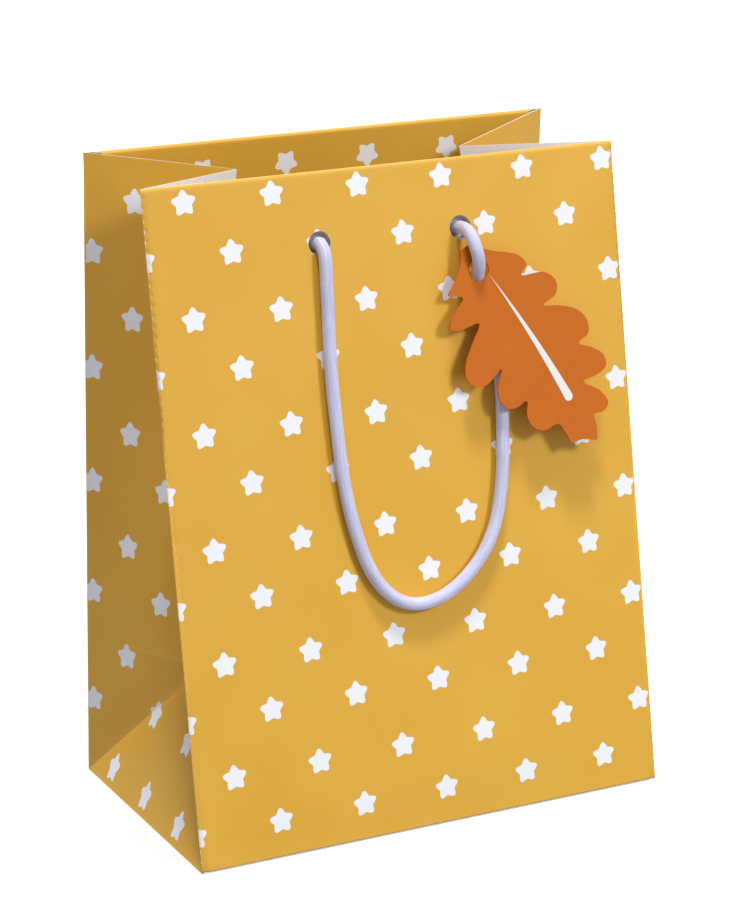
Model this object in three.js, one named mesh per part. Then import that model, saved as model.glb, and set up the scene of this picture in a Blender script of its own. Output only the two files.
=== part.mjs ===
// A medium paper gift bag standing open on its base: printed paper panels with pleated gussets,
// turned-over hems stiffened by card strips, a rope handle knotted through punched holes in the
// front, a card base board and a leaf-shaped gift tag threaded on the handle. The back wall has
// the punched holes for a second handle, which isn't fitted.
// Millimetres. +X is to the bag's right, +Y points from the front to the back, +Z is up.
// The origin is the middle of the base, on the surface that the bag stands on.
import * as THREE from "three";

// Driving dimensions of the bag
const WIDTH = 178;
const HEIGHT = 229; // measured along a panel, from its base fold to its top edge
const DEPTH = 102;
const FRONT_LEAN = 10.2; // degrees that the front panel leans back, so that the mouth is narrower
const BACK_LEAN = 2.9; // degrees that the back panel leans forward
const PAPER = 0.4;
const GAP = 0.3; // air between two layers that touch on the real bag

// The gusset: where its two folds meet above the base, and where its pleat ends at the mouth
const GUSSET_FOLD = DEPTH / 2; // height of the level fold along the panel edges
const MEETING_POINT = { inset: 27, y: 6.5, z: 50 };
const PLEAT_TOP = { inset: 46, y: 16, z: 222.8 };
const FOLD_MARGIN = 0.5; // what a facet keeps clear of the fold it shares with another facet
const EDGE_MARGIN = 2.2; // what it keeps clear of a panel's edge, which it meets at a sharp angle
const BASE_MARGIN = 0.9;

// Hems, card strips and glue
const HEM_HEIGHT = 40;
const HEM_HALF_WIDTH = 82.8;
const CARD = 0.8;
const CARD_HEIGHT = 34;
const CARD_HALF_WIDTH = 82;
const CARD_DROP = 1; // the strip's top edge below the turned edge of the paper
const PANEL_FOOT = 0.8; // each panel starts this far above its base fold
const SEAM_TAB = { start: 4.5, width: 14, low: 4, high: 184 };

// Base
const FLAP_REACH = 91; // how far each long flap reaches across the base
const TUCK_REACH = 47;
const SIDE_CLEARANCE = 0.6; // between the front flap's ends and the gussets' planes
const END_CLEARANCE = 0.4; // between the flaps' folds and the planes of the panels' feet
const BACK_FLAP = { narrower: 1.2, foot: 0.7 }; // kept clear of the gussets and the back panel
const TUCK_CLEARANCE = 1;
const BOARD = { width: 170, depth: 96, thickness: 1.2 };

// Handle
const CORD_DIAMETER = 4.5;
const HOLE_RADIUS = 4.1;
const HOLE_SEGMENTS = 10;
const HOLE_SPACING = 53.4;
const HOLE_DROP = 24; // from the top edge down to the holes
const CORD_STEPS = 76;
const CORD_SIDES = 10;
const KNOT_RADIUS = 5.8;
const KNOT_LENGTH = 10.5;
const KNOT_ROUNDS = 7;
const KNOT_SIDES = 14;
const NECK_END = -1.7; // the knot's neck ends here, inside the punched hole

// Gift tag
const TAG_THICKNESS = 1.4;
const TAG_HOLE_RADIUS = 4.4;
const TAG_HOLE_SIDES = 24;
const TAG_HOLE = { x: 29.4, drop: 38.8, off: 5.7 };
const TAG_TURN = 27.4; // degrees from straight down to the leaf's own axis, towards the right
const TAG_LIFT = 3; // degrees that the leaf's tip stands away from the panel
const LEAF_STEM = { end: -9.2, halfWidth: 2.4 };
const LEAF_TIP = [71, 1.2]; // the notch at the leaf's tip
const LEAF_CURVE_STEPS = 3;

const rad = THREE.MathUtils.degToRad;
const bag = new THREE.Group();

function material(color, roughness) {
  return new THREE.MeshStandardMaterial({ color, roughness, metalness: 0 });
}

const printedPaper = material(0xe5b140, 0.55);
const whitePaper = material(0xf2f0ea, 0.8);
const stripCard = material(0xd8d2c2, 0.9);
const baseCard = material(0xb8aa8c, 0.9);
const rope = material(0xd2d2e6, 0.6);
const tagCard = material(0xcb7018, 0.7);

function add(group, name, geometry, finish) {
  const mesh = new THREE.Mesh(geometry, finish);
  mesh.name = name;
  group.add(mesh);
  return mesh;
}

// The corners of a regular outline round the origin.
function circle(radius, sides) {
  return Array.from({ length: sides }, (_, i) => {
    const angle = (2 * Math.PI * i) / sides;
    return new THREE.Vector2(radius * Math.cos(angle), radius * Math.sin(angle));
  });
}

// --- The two wall frames ------------------------------------------------------------------
// In each frame X runs across the wall, Y up along it from its base fold, and Z out of the bag.
// The outer face of the wall is Z = 0.

function wallFrame(y, lean, turn) {
  const turned = new THREE.Group();
  turned.position.y = y;
  turned.rotation.z = rad(turn);
  const wall = new THREE.Group();
  wall.rotation.x = rad(90 - lean);
  turned.add(wall);
  bag.add(turned);
  return wall;
}

const front = wallFrame(-DEPTH / 2, FRONT_LEAN, 0);
const back = wallFrame(DEPTH / 2, BACK_LEAN, 180);

// --- Flat sheets --------------------------------------------------------------------------

// A flat sheet with the two punched holes, in a wall frame, from low to high. Its outer face is
// at Z = face.
function wallSheet(halfWidth, low, high, face, thickness) {
  const outline = new THREE.Shape();
  outline.moveTo(-halfWidth, low);
  outline.lineTo(halfWidth, low);
  outline.lineTo(halfWidth, high);
  outline.lineTo(-halfWidth, high);
  outline.closePath();
  for (const side of [-1, 1]) {
    const hole = new THREE.Path();
    hole.absarc((side * HOLE_SPACING) / 2, HEIGHT - HOLE_DROP, HOLE_RADIUS, 0, 2 * Math.PI, true);
    outline.holes.push(hole);
  }
  const sheet = new THREE.ExtrudeGeometry(outline, {
    depth: thickness,
    bevelEnabled: false,
    curveSegments: HOLE_SEGMENTS,
  });
  return sheet.translate(0, 0, face - thickness);
}

// A level sheet in the base, over an outline of [x, y] corners, lying from z up.
function levelSheet(corners, z, thickness) {
  const outline = new THREE.Shape(corners.map(([x, y]) => new THREE.Vector2(x, y)));
  const sheet = new THREE.ExtrudeGeometry(outline, { depth: thickness, bevelEnabled: false });
  return sheet.translate(0, 0, z);
}

// --- Gusset facets ------------------------------------------------------------------------

// The outline with each edge moved inwards by its own margin. Edge i runs from corner i on.
function insetOutline(corners, margins) {
  return corners.map((corner, i) => {
    const last = (i + corners.length - 1) % corners.length;
    const toNext = corners[(i + 1) % corners.length].clone().sub(corner).normalize();
    const toLast = corners[last].clone().sub(corner).normalize();
    const sine = new THREE.Vector3().crossVectors(toNext, toLast).length();
    return corner
      .clone()
      .addScaledVector(toNext, margins[last] / sine)
      .addScaledVector(toLast, margins[i] / sine);
  });
}

// A sheet over corners that run anticlockwise as seen from outside the bag. A fold of four
// corners bends along the line from its first corner to its third.
function facet(corners, margins) {
  const outer = insetOutline(corners, margins);
  const normal = new THREE.Vector3();
  for (let i = 1; i + 1 < outer.length; i++) {
    const a = outer[i].clone().sub(outer[0]);
    const b = outer[i + 1].clone().sub(outer[0]);
    normal.add(a.cross(b));
  }
  normal.normalize();
  const inner = outer.map((corner) => corner.clone().addScaledVector(normal, -PAPER));
  const triangles = [];
  for (let i = 1; i + 1 < outer.length; i++) {
    triangles.push(outer[0], outer[i], outer[i + 1]);
    triangles.push(inner[0], inner[i + 1], inner[i]);
  }
  outer.forEach((corner, i) => {
    const next = (i + 1) % outer.length;
    triangles.push(corner, inner[i], inner[next]);
    triangles.push(corner, inner[next], outer[next]);
  });
  return new THREE.BufferGeometry().setFromPoints(triangles);
}

function gusset(side, label) {
  const x = (inset) => side * (WIDTH / 2 - inset);
  const upFront = (distance) =>
    new THREE.Vector3(
      x(0),
      -DEPTH / 2 + distance * Math.sin(rad(FRONT_LEAN)),
      distance * Math.cos(rad(FRONT_LEAN)),
    );
  const upBack = (distance) =>
    new THREE.Vector3(
      x(0),
      DEPTH / 2 - distance * Math.sin(rad(BACK_LEAN)),
      distance * Math.cos(rad(BACK_LEAN)),
    );
  const frontFoot = upFront(0);
  const frontFold = upFront(GUSSET_FOLD);
  const frontTop = upFront(HEIGHT);
  const backFoot = upBack(0);
  const backFold = upBack(GUSSET_FOLD);
  const backTop = upBack(HEIGHT);
  const meeting = new THREE.Vector3(x(MEETING_POINT.inset), MEETING_POINT.y, MEETING_POINT.z);
  const pleatTop = new THREE.Vector3(x(PLEAT_TOP.inset), PLEAT_TOP.y, PLEAT_TOP.z);

  const place = (name, corners, margins) => {
    // On the right the same corners run the other way round.
    const count = corners.length;
    const mirroredCorners = [corners[0], ...corners.slice(1).reverse()];
    const mirroredMargins = margins.map((_, i) => margins[count - 1 - i]);
    const geometry = side < 0 ? facet(corners, margins) : facet(mirroredCorners, mirroredMargins);
    add(bag, `${label}_gusset_${name}`, geometry, printedPaper);
  };
  const fold = FOLD_MARGIN;
  const edge = EDGE_MARGIN;
  place("base_triangle", [backFoot, frontFoot, meeting], [BASE_MARGIN, fold, fold]);
  place("lower_rear", [backFoot, meeting, backFold], [fold, fold, edge]);
  place("lower_front", [frontFoot, frontFold, meeting], [edge, fold, fold]);
  place("upper_rear", [meeting, pleatTop, backTop, backFold], [fold, 0, edge, fold]);
  place("upper_front", [meeting, frontFold, frontTop, pleatTop], [fold, edge, 0, fold]);
}

// --- Walls, hems and seam -----------------------------------------------------------------

function wall(frame, label) {
  const cardFace = -PAPER - GAP;
  const hemFace = cardFace - CARD - GAP;
  const panel = wallSheet(WIDTH / 2, PANEL_FOOT, HEIGHT, 0, PAPER);
  const cardTop = HEIGHT - CARD_DROP;
  const strip = wallSheet(CARD_HALF_WIDTH, HEIGHT - CARD_HEIGHT, cardTop, cardFace, CARD);
  const hem = wallSheet(HEM_HALF_WIDTH, HEIGHT - HEM_HEIGHT, HEIGHT, hemFace, PAPER);
  add(frame, `${label}_panel`, panel, printedPaper);
  add(frame, `${label}_hem_card`, strip, stripCard);
  add(frame, `${label}_top_hem`, hem, printedPaper);
}

// The glue tab of the gusset, stuck inside the back panel along one edge.
function seamTab() {
  const height = SEAM_TAB.high - SEAM_TAB.low;
  const tab = new THREE.BoxGeometry(SEAM_TAB.width, height, PAPER);
  tab.translate(
    WIDTH / 2 - SEAM_TAB.start - SEAM_TAB.width / 2,
    SEAM_TAB.low + height / 2,
    -PAPER - GAP - PAPER / 2,
  );
  add(back, "side_seam_tab", tab, whitePaper);
}

// --- Base ---------------------------------------------------------------------------------

function base() {
  const halfWidth = WIDTH / 2 - SIDE_CLEARANCE;
  const halfDepth = DEPTH / 2 - END_CLEARANCE;
  const layer = PAPER + GAP;
  const flap = (half, from, to) => [
    [-half, from],
    [half, from],
    [half, to],
    [-half, to],
  ];
  const frontFlap = levelSheet(flap(halfWidth, -halfDepth, FLAP_REACH - halfDepth), 0, PAPER);
  const backFoot = halfDepth - BACK_FLAP.foot;
  const backHalf = halfWidth - BACK_FLAP.narrower;
  const backFlap = levelSheet(flap(backHalf, backFoot - FLAP_REACH, backFoot), layer, PAPER);
  add(bag, "base_front_flap", frontFlap, printedPaper);
  add(bag, "base_back_flap", backFlap, whitePaper);
  for (const [side, label] of [[-1, "left"], [1, "right"]]) {
    const outer = side * (halfWidth - TUCK_CLEARANCE);
    const inner = side * (halfWidth - TUCK_CLEARANCE - TUCK_REACH);
    const reach = halfDepth - TUCK_CLEARANCE;
    const mitre = reach - TUCK_REACH;
    const corners = [
      [outer, -reach],
      [inner, -mitre],
      [inner, mitre],
      [outer, reach],
    ];
    add(bag, `base_${label}_tuck`, levelSheet(corners, 2 * layer, PAPER), whitePaper);
  }
  const boardOutline = flap(BOARD.width / 2, -BOARD.depth / 2, BOARD.depth / 2);
  const board = levelSheet(boardOutline, 3 * layer, BOARD.thickness);
  add(bag, "base_board", board, baseCard);
}

// --- Rope handle --------------------------------------------------------------------------

// The rope's route on the front wall, as [across, below the top edge, off the wall's face]. It
// hangs as a loop, passes behind the leaf, comes up through the tag's hole and crosses its stem.
const HANDLE_ROUTE = [
  [-26.7, 24, 0.3],
  [-26.4, 26.6, 2.2],
  [-26.5, 30.2, 3.0],
  [-26.8, 38, 3],
  [-27.1, 48, 3],
  [-27.7, 60, 3],
  [-27.8, 72, 3],
  [-27.5, 84, 3],
  [-27.0, 97, 3],
  [-25.8, 110, 3],
  [-23.6, 122, 3],
  [-20.5, 132.6, 3],
  [-16.1, 141.2, 3],
  [-10.1, 147.2, 3],
  [-3.1, 149.9, 3],
  [4.1, 149.6, 3],
  [11.3, 147, 3],
  [18.7, 142, 3],
  [25.3, 135, 3],
  [30.1, 126.3, 3],
  [33.0, 116, 3],
  [34.7, 105, 3],
  [35.5, 94, 3],
  [36.1, 83, 3],
  [36.2, 72, 3],
  [35.5, 61, 3],
  [34.4, 54.6, 2.8],
  [33.0, 49, 2.6],
  [31.6, 44.7, 2.6],
  [30.6, 42.1, 3.0],
  [29.9, 40.2, 4.1],
  [29.4, 38.8, 5.7],
  [28.9, 37.4, 7.2],
  [28.4, 35.6, 8.3],
  [27.8, 33, 8.9],
  [27.2, 30.2, 8.7],
  [26.9, 27.6, 7.7],
  [26.8, 25.6, 5.8],
  [26.8, 24.5, 3.2],
  [26.8, 24, 0.3],
];

function handle() {
  const points = HANDLE_ROUTE.map(([x, drop, off]) => new THREE.Vector3(x, HEIGHT - drop, off));
  const path = new THREE.CatmullRomCurve3(points, false, "centripetal");
  const section = new THREE.Shape(circle(CORD_DIAMETER / 2, CORD_SIDES));
  const cord = new THREE.ExtrudeGeometry(section, { steps: CORD_STEPS, extrudePath: path });
  add(front, "front_handle_cord", cord, rope);
  for (const [side, label] of [[-1, "left"], [1, "right"]]) {
    const knot = add(front, `front_handle_${label}_knot`, knotShape(), rope);
    knot.position.set((side * HOLE_SPACING) / 2, HEIGHT - HOLE_DROP, 0);
  }
}

// A pulled-tight overhand knot as a turned bead behind the hem, with its neck in the hole.
function knotShape() {
  const neck = CORD_DIAMETER / 2;
  const hemInside = -(2 * PAPER + 2 * GAP + CARD);
  const top = hemInside - 2 * GAP;
  const profile = [new THREE.Vector2(0, NECK_END), new THREE.Vector2(neck, NECK_END)];
  for (let i = 0; i <= KNOT_ROUNDS; i++) {
    const turn = (Math.PI * i) / KNOT_ROUNDS;
    const radius = neck + (KNOT_RADIUS - neck) * Math.sin(turn);
    profile.push(new THREE.Vector2(radius, top - (KNOT_LENGTH * (1 - Math.cos(turn))) / 2));
  }
  profile.push(new THREE.Vector2(0, top - KNOT_LENGTH));
  profile.reverse();
  return new THREE.LatheGeometry(profile, KNOT_SIDES).rotateX(Math.PI / 2);
}

// --- Leaf tag -----------------------------------------------------------------------------

// The oak leaf lies along +X with its threading hole at the origin. Each side is a chain of
// points from the stem to the tip: lobe tips stand out and the notches between them fall in.
const LEAF_LEFT = [
  [-7.6, -3], [-3.4, -7], [-1, -11], [1, -14.4], [4.6, -10.2], [8, -17.8], [10.6, -20.2],
  [12.9, -18], [15.3, -9.9], [19.6, -15.8], [24, -21.8], [28.2, -24.3], [32, -23.3], [34.3, -19.8],
  [33, -11.4], [37.4, -16], [42, -17.9], [45.6, -17], [47.4, -13.6], [47.6, -9.3], [52, -12.1],
  [56.4, -12.3], [60, -9.4], [61.2, -3.6], [65, -3], [69.8, -3],
];
const LEAF_RIGHT = [
  [74.8, 6], [70, 8.6], [66.5, 9.8], [67.7, 13.6], [66.2, 16.8], [61, 16.4], [54.4, 12.4],
  [55.6, 18.2], [55, 23], [51.4, 24.3], [46.6, 22], [42.4, 18.4], [41.6, 23.4], [37.6, 25.5],
  [32.4, 24.3], [27.4, 19.4], [23.7, 14], [23.2, 20.2], [19.6, 22.8], [14.6, 20.8], [10.3, 12.6],
  [8.4, 16.3], [4, 15.4], [0.6, 12], [-2.6, 8], [-6.6, 4.2],
];

function leafTag() {
  const outline = new THREE.Shape();
  const spline = (points) => outline.splineThru(points.map(([x, y]) => new THREE.Vector2(x, y)));
  outline.moveTo(LEAF_STEM.end, LEAF_STEM.halfWidth);
  outline.lineTo(LEAF_STEM.end, -LEAF_STEM.halfWidth);
  spline(LEAF_LEFT);
  outline.lineTo(...LEAF_TIP);
  outline.lineTo(...LEAF_RIGHT[0]);
  spline(LEAF_RIGHT.slice(1));
  outline.closePath();
  outline.holes.push(new THREE.Path(circle(TAG_HOLE_RADIUS, TAG_HOLE_SIDES)));
  const leaf = new THREE.ExtrudeGeometry(outline, {
    depth: TAG_THICKNESS,
    bevelEnabled: false,
    curveSegments: LEAF_CURVE_STEPS,
  });
  leaf.translate(0, 0, -TAG_THICKNESS / 2);
  // Lift the tip off the wall first, then turn the leaf in the wall's plane.
  leaf.rotateY(-rad(TAG_LIFT));
  const tag = add(front, "leaf_tag", leaf, tagCard);
  tag.rotation.z = rad(TAG_TURN - 90);
  tag.position.set(TAG_HOLE.x, HEIGHT - TAG_HOLE.drop, TAG_HOLE.off);
}

// --- The bag ------------------------------------------------------------------------------

wall(front, "front");
wall(back, "back");
seamTab();
gusset(-1, "left");
gusset(1, "right");
base();
handle();
leafTag();

export default bag;
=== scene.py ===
# %% [markdown]
# # A paper gift bag with a rope handle and a leaf tag
# The bag stands open on its base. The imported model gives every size, body and joint, and this
# script makes the surfaces that are seen: folded printed paper, rope, knots, card and the tag.
# All lengths are in metres. +X is the bag's right, +Y runs from front to back, +Z is up.

# %% Load the frame
import math

import bmesh
import bpy
import numpy as np
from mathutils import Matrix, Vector
from mathutils.geometry import delaunay_2d_cdt


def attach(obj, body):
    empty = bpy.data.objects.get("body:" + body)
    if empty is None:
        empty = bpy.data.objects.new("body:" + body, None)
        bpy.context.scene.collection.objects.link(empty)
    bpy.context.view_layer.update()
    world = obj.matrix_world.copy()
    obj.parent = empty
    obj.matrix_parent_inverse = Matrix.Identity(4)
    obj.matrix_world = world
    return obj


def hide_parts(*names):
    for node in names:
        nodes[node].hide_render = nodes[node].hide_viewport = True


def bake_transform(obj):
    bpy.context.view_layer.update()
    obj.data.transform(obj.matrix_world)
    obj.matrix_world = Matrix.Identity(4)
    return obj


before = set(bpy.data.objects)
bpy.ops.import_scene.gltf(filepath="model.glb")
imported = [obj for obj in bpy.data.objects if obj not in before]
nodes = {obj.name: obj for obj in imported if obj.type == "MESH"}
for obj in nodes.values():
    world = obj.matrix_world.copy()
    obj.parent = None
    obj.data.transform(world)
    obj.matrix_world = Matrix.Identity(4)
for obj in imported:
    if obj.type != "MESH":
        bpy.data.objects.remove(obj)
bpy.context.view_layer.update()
scene = bpy.context.scene

# %% [markdown]
# ## Camera
# The bag is looked at from its front left corner and a little above, through a long lens, so
# the upright edges stay almost parallel.

# %% Place the camera
MM = 0.001
AIM = Vector((-0.0264, -0.051, 0.1396))
AZIMUTH = math.radians(27.06)
PITCH = math.radians(-17.05)
AIM_DISTANCE = 1.0057
LENS = 122.2
SENSOR = 36.0

camera_data = bpy.data.cameras.new("camera")
camera_data.sensor_fit = "VERTICAL"
camera_data.sensor_height = SENSOR
camera_data.lens = LENS
camera = bpy.data.objects.new("camera", camera_data)
scene.collection.objects.link(camera)
sight = Vector(
    (
        math.cos(PITCH) * math.sin(AZIMUTH),
        math.cos(PITCH) * math.cos(AZIMUTH),
        math.sin(PITCH),
    )
)
camera.location = AIM - AIM_DISTANCE * sight
camera.rotation_euler = sight.to_track_quat("-Z", "Y").to_euler()
scene.camera = camera
print("camera at", tuple(round(c, 3) for c in camera.location))

# %% [markdown]
# ## The two walls as drawing boards
# Each wall of the bag leans a little, so its pieces are drawn on a board of its own: x runs
# across the wall, y up along the paper from the base fold, and z out of the bag. The printed
# face is z = 0. Everything on a wall is placed through its board, so all of it leans alike.

# %% Sizes and boards
WIDTH = 178 * MM
HEIGHT = 229 * MM
DEPTH = 102 * MM
FRONT_LEAN = math.radians(10.2)
BACK_LEAN = math.radians(2.9)
PAPER = 0.32 * MM


class Board:
    """A leaning wall: where its base fold is, and its own three directions."""

    def __init__(self, y, lean, side):
        self.origin = np.array((0.0, y, 0.0))
        self.across = np.array((side, 0.0, 0.0))
        self.up = np.array((0.0, side * math.sin(lean), math.cos(lean)))
        self.out = np.cross(self.across, self.up)

    def place(self, points):
        """Row-frame points for an array of board points."""
        x, y, z = np.asarray(points, float).T
        turned = np.outer(x, self.across) + np.outer(y, self.up) + np.outer(z, self.out)
        return self.origin + turned

    def spot(self, x, drop, off):
        """The row-frame point at x across, drop below the top edge, off the printed face."""
        return self.place([(x, HEIGHT - drop, off)])[0]


FRONT = Board(-DEPTH / 2, FRONT_LEAN, 1.0)
BACK = Board(DEPTH / 2, BACK_LEAN, -1.0)
print("mouth depth %.1f mm" % ((BACK.spot(0, 0, 0) - FRONT.spot(0, 0, 0))[1] / MM))

# %% [markdown]
# ## Rope handle
# The handle is one soft rope that leaves a punched hole, hangs against the front and goes back
# in at the second hole. Its route is a short list of points, given as x across, drop below
# the top edge and distance off the wall, in millimetres. A centripetal spline through them has
# no overshoot. The rope passes behind the leaf, comes up through the tag's hole, climbs over
# the tag's stem and dives back into the bag.

# %% Rope route
ROPE = 4.5 * MM
HOLE_RADIUS = 4.1 * MM
HOLE_X = 26.7 * MM
HOLE_DROP = 24 * MM
ROUTE_STEP = 1.2 * MM

HANDLE_ROUTE = [
    (-26.7, 24, 0.3), (-26.4, 26.6, 2.2), (-26.5, 30.2, 3.0), (-26.8, 38, 3), (-27.1, 48, 3),
    (-27.7, 60, 3), (-27.8, 72, 3), (-27.5, 84, 3), (-27.0, 97, 3), (-25.8, 110, 3),
    (-23.6, 122, 3), (-20.5, 132.6, 3), (-16.1, 141.2, 3), (-10.1, 147.2, 3), (-3.1, 149.9, 3),
    (4.1, 149.6, 3), (11.3, 147, 3), (18.7, 142, 3), (25.3, 135, 3), (30.1, 126.3, 3),
    (33.0, 116, 3), (34.7, 105, 3), (35.5, 94, 3), (36.1, 83, 3), (36.2, 72, 3), (35.5, 61, 3),
    (34.4, 54.6, 2.8), (33.0, 49, 2.6), (31.6, 44.7, 2.6), (30.6, 42.1, 3.0), (29.9, 40.2, 4.1),
    (29.4, 38.8, 5.7), (28.9, 37.4, 7.2), (28.4, 35.6, 8.3), (27.8, 33, 8.9), (27.2, 30.2, 8.7),
    (26.9, 27.6, 7.7), (26.8, 25.6, 5.8), (26.8, 24.5, 3.2), (26.8, 24, 0.3),
]


def spline_point(p, t, s):
    """One point of a Catmull-Rom span through four points with knots t, at the parameter s."""
    a = [(p[k] * (t[k + 1] - s) + p[k + 1] * (s - t[k])) / (t[k + 1] - t[k]) for k in range(3)]
    b = [(a[k] * (t[k + 2] - s) + a[k + 1] * (s - t[k])) / (t[k + 2] - t[k]) for k in range(2)]
    return (b[0] * (t[2] - s) + b[1] * (s - t[1])) / (t[2] - t[1])


def smooth_route(points, spacing, per_span=16):
    """Evenly spaced points on a centripetal Catmull-Rom spline through the given points."""
    points = np.asarray(points, float)
    padded = np.vstack([2 * points[0] - points[1], points, 2 * points[-1] - points[-2]])
    fine = []
    for i in range(len(points) - 1):
        p = padded[i : i + 4]
        t = np.concatenate([[0], np.cumsum(np.linalg.norm(np.diff(p, axis=0), axis=1) ** 0.5)])
        fine += [spline_point(p, t, s) for s in np.linspace(t[1], t[2], per_span, endpoint=False)]
    fine = np.array(fine + [points[-1]])
    run = np.concatenate([[0], np.cumsum(np.linalg.norm(np.diff(fine, axis=0), axis=1))])
    even = np.linspace(0, run[-1], int(round(run[-1] / spacing)) + 1)
    return np.stack([np.interp(even, run, column) for column in fine.T], axis=1)


across, drops, offs = np.array(HANDLE_ROUTE, float).T * MM
route = FRONT.place(np.stack([across, HEIGHT - drops, offs], axis=1))
rope_path = smooth_route(route, ROUTE_STEP)
rope_length = float(np.linalg.norm(np.diff(rope_path, axis=0), axis=1).sum())
print("the rope shows %.0f mm" % (rope_length / MM))

# %% [markdown]
# ## Finishes
# Every surface gets its own small node tree. A helper keeps the trees short to write: a Finish
# owns a material, and its calls add one node each. Values that are the same all over go
# straight on the shader's sockets. Patterns read the flat sheet's own map, in millimetres, or
# the object's coordinates, so they never slide.

# %% A helper that writes node trees
class Finish:
    """A material, its Principled shader, and short calls that add nodes to it."""

    def __init__(self, name, roughness, specular=0.4):
        self.material = bpy.data.materials.new(name)
        self.material.use_nodes = True
        self.tree = self.material.node_tree
        self.shader = self.tree.nodes["Principled BSDF"]
        self.shader.inputs["Roughness"].default_value = roughness
        self.shader.inputs["Specular IOR Level"].default_value = specular

    def add(self, kind, inputs, output=0, **settings):
        """A node with its settings, and its inputs set or linked by name or number."""
        node = self.tree.nodes.new("ShaderNode" + kind)
        for key, value in settings.items():
            setattr(node, key, value)
        for key, value in inputs.items():
            if isinstance(value, bpy.types.NodeSocket):
                self.tree.links.new(value, node.inputs[key])
            else:
                node.inputs[key].default_value = value
        return node.outputs[output]

    def math(self, operation, *values):
        return self.add("Math", dict(enumerate(values)), operation=operation)

    def flat_map(self):
        return self.add("UVMap", {}, uv_map="sheet")

    def solid_map(self):
        """Object coordinates in millimetres."""
        place = self.add("TexCoord", {}, output="Object")
        return self.add("VectorMath", {0: place, "Scale": 1 / MM}, operation="SCALE")

    def stretch(self, place, *factors):
        return self.add("VectorMath", {0: place, 1: factors}, operation="MULTIPLY")

    def noise(self, place, scale, detail=2.0):
        return self.add("TexNoise", {"Vector": place, "Scale": scale, "Detail": detail})

    def mix(self, first, second, share):
        """A share of one pattern, and the rest from another."""
        rest = self.math("MULTIPLY", second, 1 - share)
        return self.math("MULTIPLY_ADD", first, share, rest)

    def fade(self, value, low, high, to_low=0.0, to_high=1.0):
        """A smooth step of a value from one range to another."""
        sockets = {"Value": value, "From Min": low, "From Max": high}
        sockets.update({"To Min": to_low, "To Max": to_high})
        return self.add("MapRange", sockets, interpolation_type="SMOOTHSTEP")

    def blend(self, amount, first, second):
        """A colour between two others, which are linear RGB or sockets."""
        first = first if isinstance(first, bpy.types.NodeSocket) else (*first, 1.0)
        second = second if isinstance(second, bpy.types.NodeSocket) else (*second, 1.0)
        sockets = {"Factor": amount, 6: first, 7: second}
        return self.add("Mix", sockets, output=2, data_type="RGBA")

    def wire(self, socket, value):
        self.tree.links.new(value, self.shader.inputs[socket])

    def bump(self, height, distance, strength=1.0):
        """Small relief, with its height in metres at a height value of one."""
        sockets = {"Height": height, "Distance": distance, "Strength": strength}
        self.wire("Normal", self.add("Bump", sockets))


def rgb(*shades):
    """Linear colour from shades given as on a paint card, 0 to 255."""
    unit = [shade / 255 for shade in shades]
    return tuple(c / 12.92 if c <= 0.04045 else ((c + 0.055) / 1.055) ** 2.4 for c in unit)


# %% [markdown]
# The paper is printed in mustard with small round-cornered stars in two interleaved grids. A
# star is drawn by folding the plane ten times round its centre, which leaves one straight edge
# to measure from, and a circle that rounds its points off. Print is thin, so the stars have no
# height: only their colour changes. The reverse of the sheet stays white.

# %% Printed paper and its white reverse
MUSTARD = rgb(230, 177, 62)
MUSTARD_DEEP = rgb(224, 169, 52)
INK_WHITE = rgb(248, 247, 246)
FOLD_LIGHT = rgb(243, 196, 100)
STAR_GRIDS = [(-11.0, -5.9), (4.6, -23.6)]
STAR_PITCH = (31.7, 38.5)
STAR_POINTS = 5
STAR_POINT = 5.4
STAR_NOTCH = 2.95
STAR_ROUND = 4.5
STAR_SOFTNESS = 1.1
STAR_TILT = math.radians(3)
PRINT_EDGE = 0.1
PAPER_GRAIN = 0.02 * MM
COCKLE = 6.0  # how much deeper the sheet's slow waves are than its grain
BARE_LIGHT = rgb(247, 245, 240)
BARE_DEEP = rgb(232, 229, 221)


def star_distance(finish, across, along):
    """How far a place is outside the star at the origin, in millimetres."""
    half = math.pi / STAR_POINTS
    edge = Vector((STAR_NOTCH * math.cos(half) - STAR_POINT, STAR_NOTCH * math.sin(half)))
    outward = Vector((edge.y, -edge.x)).normalized()
    squares = finish.math("ADD", finish.math("POWER", across, 2.0), finish.math("POWER", along, 2.0))
    radius = finish.math("SQRT", squares)
    turn = finish.math("SUBTRACT", finish.math("ARCTAN2", along, across), math.pi / 2 + STAR_TILT)
    folded = finish.math("ABSOLUTE", finish.math("WRAP", turn, half, -half))
    x = finish.math("MULTIPLY", radius, finish.math("COSINE", folded))
    y = finish.math("MULTIPLY", radius, finish.math("SINE", folded))
    x = finish.math("MULTIPLY", finish.math("SUBTRACT", x, STAR_POINT), outward.x)
    straight = finish.math("MULTIPLY_ADD", y, outward.y, x)
    rounded = finish.math("SUBTRACT", radius, STAR_ROUND)
    return finish.math("SMOOTH_MAX", straight, rounded, STAR_SOFTNESS)


def star_print(finish, place):
    """One inside the printed stars and zero outside."""
    split = finish.tree.nodes.new("ShaderNodeSeparateXYZ")
    finish.tree.links.new(place, split.inputs[0])
    nearest = None
    for centre in STAR_GRIDS:
        local = []
        for axis in (0, 1):
            moved = finish.math("SUBTRACT", split.outputs[axis], centre[axis])
            reach = STAR_PITCH[axis] / 2
            local.append(finish.math("WRAP", moved, reach, -reach))
        distance = star_distance(finish, *local)
        nearest = distance if nearest is None else finish.math("MINIMUM", nearest, distance)
    return finish.fade(nearest, -PRINT_EDGE, PRINT_EDGE, 1.0, 0.0)


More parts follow.
